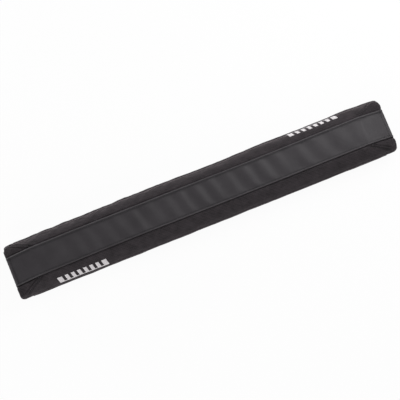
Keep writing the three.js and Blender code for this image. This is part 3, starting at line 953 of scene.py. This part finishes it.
# Closing flaps
# Two flaps of the woven side cloth hang from the lower edges of the side panels, go round the bar
# and lap under it. Their free edges are turned over once and sewn down.
flap_low, flap_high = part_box("closure_flap_outer")
inner_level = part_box("closure_flap_inner")[0][2] * 1000 + cloth_thickness
flap_half = flap_high[0] * 1000
flap_top = flap_high[2] * 1000
flap_edge = -flap_low[1] * 1000
flap_hem = 5
wrap_radius = 18
turn_radius = 0.66
turn_length = 8
fold_gap = 0.12
flap_columns = 260
half_cloth = cloth_thickness / 2
for name, node, side, level, turned in (
        ("closing_flap_outer", "closure_flap_outer", 1, 0.0, 1),
        ("closing_flap_inner", "closure_flap_inner", -1, inner_level, -1)):
    middle = level + half_cloth
    doubled = middle + turned * (cloth_thickness + fold_gap)
    line = rounded_path([
        (half_width - half_cloth, flap_top, 0), (half_width - half_cloth, middle, wrap_radius - middle),
        (-flap_edge + half_cloth, middle, turn_radius), (-flap_edge + half_cloth, doubled, turn_radius),
        (-flap_edge + flap_hem, doubled, 0)])
    flap_length = line[1][-1]
    turn_start = flap_length - turn_length
    spots = np.unique(np.concatenate([np.linspace(0, turn_start, 70), line[1][line[1] > turn_start],
                                      np.linspace(turn_start, flap_length, 12)]))
    across, up = walk(line, spots)
    columns = np.linspace(-flap_half, flap_half, flap_columns)
    sheet = grid_of(columns, side * across[:, None], up[:, None])
    if side > 0:
        sheet = sheet[::-1]
    normals = grid_normals(sheet)
    hanging = ease((sheet[:, :, 2] - level - 2) / 6)
    wave = (waver(71 + side, 90)(sheet[:, :, 0]) * 0.5 - 0.5) * hanging * 0.8
    outer = sheet + normals * (half_cloth + wave)[:, :, None]
    flap = cloth(name, outer, flat_coordinates(sheet), cloth_thickness, weave_material)
    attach(flap, "root")
    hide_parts(node)


# Hook and loop tape
# Nylon hook tape on the upper face of the outer flap and loop tape under the inner one. Closed,
# their faces lie on each other.
hook_material, tree = new_material("nylon hook tape")
# Rows of stiff hooks, 1.4 mm apart, slightly glossy.
cut = on_cloth(tree)
hooks = add_node(tree, "ShaderNodeTexVoronoi", {"Vector": cut, "Scale": 700.0, "Randomness": 0.1})
hooks = hooks.outputs["Distance"]
cover_with(tree, blend(tree, hooks, "#222224", "#0f0f10"), 0.45, relief(tree, hooks, 0.0006, 0.9))

loop_material, tree = new_material("napped loop tape")
# Brushed nylon loops: a soft, light-catching fuzz.
cut = on_cloth(tree)
nap = noise(tree, cut, 1300.0, 4.0)
cover_with(tree, blend(tree, nap, "#161617", "#343437"), 0.95, relief(tree, nap, 0.0006, 0.9),
           {"Sheen Weight": 0.3, "Sheen Roughness": 0.5})
strip_rows, strip_columns = 14, 200
strip_waver = 0.04
for name, node, material, slot_name in (("hook_tape", "hook_strip", hook_material, "hook_tape"),
                                        ("loop_tape", "loop_strip", loop_material, "loop_tape")):
    low, high = (np.array(c) * 1000 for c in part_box(node))
    x = np.linspace(low[0], high[0], strip_columns)
    y = np.linspace(low[1], high[1], strip_rows)[:, None]
    strip = grid_of(x, y, high[2] - strip_waver - strip_waver * waver(81, 50)(x))
    strip_piece = cloth(name, strip, flat_coordinates(strip), high[2] - low[2] - 0.1, material)
    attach(strip_piece, "root")
    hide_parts(node)

# The outer flap shows the thread that holds the hook tape and its own hem.
low, high = (np.array(c) * 1000 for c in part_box("hook_strip"))
flap_lines = []
line_points = 400
for y in (low[1] + 2, high[1] - 2, -flap_edge + flap_hem - 1.2):
    line = np.stack([np.linspace(low[0], high[0], line_points), np.full(line_points, y),
                     np.full(line_points, 0.34)], axis=1)
    flap_lines.append((line, np.tile([0.0, 0.0, -1.0], (line_points, 1))))
points, faces = stitches(flap_lines)
points = np.array(points)
points[:, 2] = np.maximum(points[:, 2], 0.02)
thread = piece("flap_stitches", points, faces, thread_material)
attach(thread, "root")


# Reflective marks
# Heat-pressed retroreflective film on the round of each side panel, one at the left end in front
# and one at the right end behind: plain slanted bars on a thin underline.
film_material, tree = new_material("retroreflective transfer film")
# Pale grey film full of tiny glass beads: even, softly bright, with faint cloudy patches.
cut = on_cloth(tree)
beads = noise(tree, cut, 1500.0, 2.0)
cloud = noise(tree, cut, 90.0, 5.0)
tone = blend(tree, rescale(tree, cloud, 0.3, 0.7), "#d7d2d4", "#e5e1e3")
cover_with(tree, tone, 0.45, relief(tree, beads, 0.0001, 0.4))


def on_cover(x, v, lift):
    """Points on the dressed cover at some distances along it and across it, lifted off it."""
    i = cover_rings + (x + corner_x) / (2 * corner_x) * (len(cover_columns) - 1)
    j = np.interp(v, cover_v, np.arange(len(cover_v)))
    i0, j0 = np.floor(i).astype(int), np.floor(j).astype(int)
    a, b = (i - i0)[..., None], (j - j0)[..., None]
    parts = [grid[j0, i0] * (1 - a) * (1 - b) + grid[j0, i0 + 1] * a * (1 - b)
             + grid[j0 + 1, i0] * (1 - a) * b + grid[j0 + 1, i0 + 1] * a * b
             for grid in (dressed, dressed_normals)]
    return parts[0] + parts[1] * lift


film = 0.25
film_gap = 0.06
mark_length = 96
mark_height = 16.3
mark_drop = 0.7
bar_pitch = 12
bar_count = mark_length // bar_pitch
slot_width = 5.6
underline = 2.2
mark_slant = math.tan(math.radians(12))
shoulder_angle = math.atan2(shoulder_drop, half_width - seam)
mark_start_y = half_width - shoulder_bend * (1 - math.sin(shoulder_angle))
mark_start_v = np.interp(mark_start_y, across_path[0][:, 0], across_path[1])
for name, node, side, mark_inset in (("mark_front", "reflective_mark_front", -1, 75),
                                     ("mark_rear", "reflective_mark_rear", 1, 84)):
    bars = [(-mark_length / 2, mark_length / 2, 0, underline)]
    for k in range(bar_count):
        low_x = -mark_length / 2 + k * bar_pitch + (slot_width / 2 if k else 0)
        high_x = -mark_length / 2 + (k + 1) * bar_pitch - (slot_width / 2 if k < bar_count - 1 else 0)
        bars.append((low_x, high_x, underline - 0.05, mark_height))
    made = []
    for low_x, high_x, low_h, high_h in bars:
        h = np.linspace(low_h, high_h, 14 if low_h else 4)[:, None]
        x = np.linspace(low_x, high_x, 8 if low_h else 60)[None, :] + (h - mark_height / 2) * mark_slant
        x = (x + half_length - mark_inset - mark_length / 2) * side
        v = side * (mark_start_v + mark_drop + mark_height - h) + 0 * x
        patch = on_cover(x, v, film_gap + film)
        made.append(cloth(name, patch, flat_coordinates(patch), film, film_material))
    with bpy.context.temp_override(active_object=made[0], selected_editable_objects=made):
        bpy.ops.object.join()
    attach(made[0], "root")
    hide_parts(node)
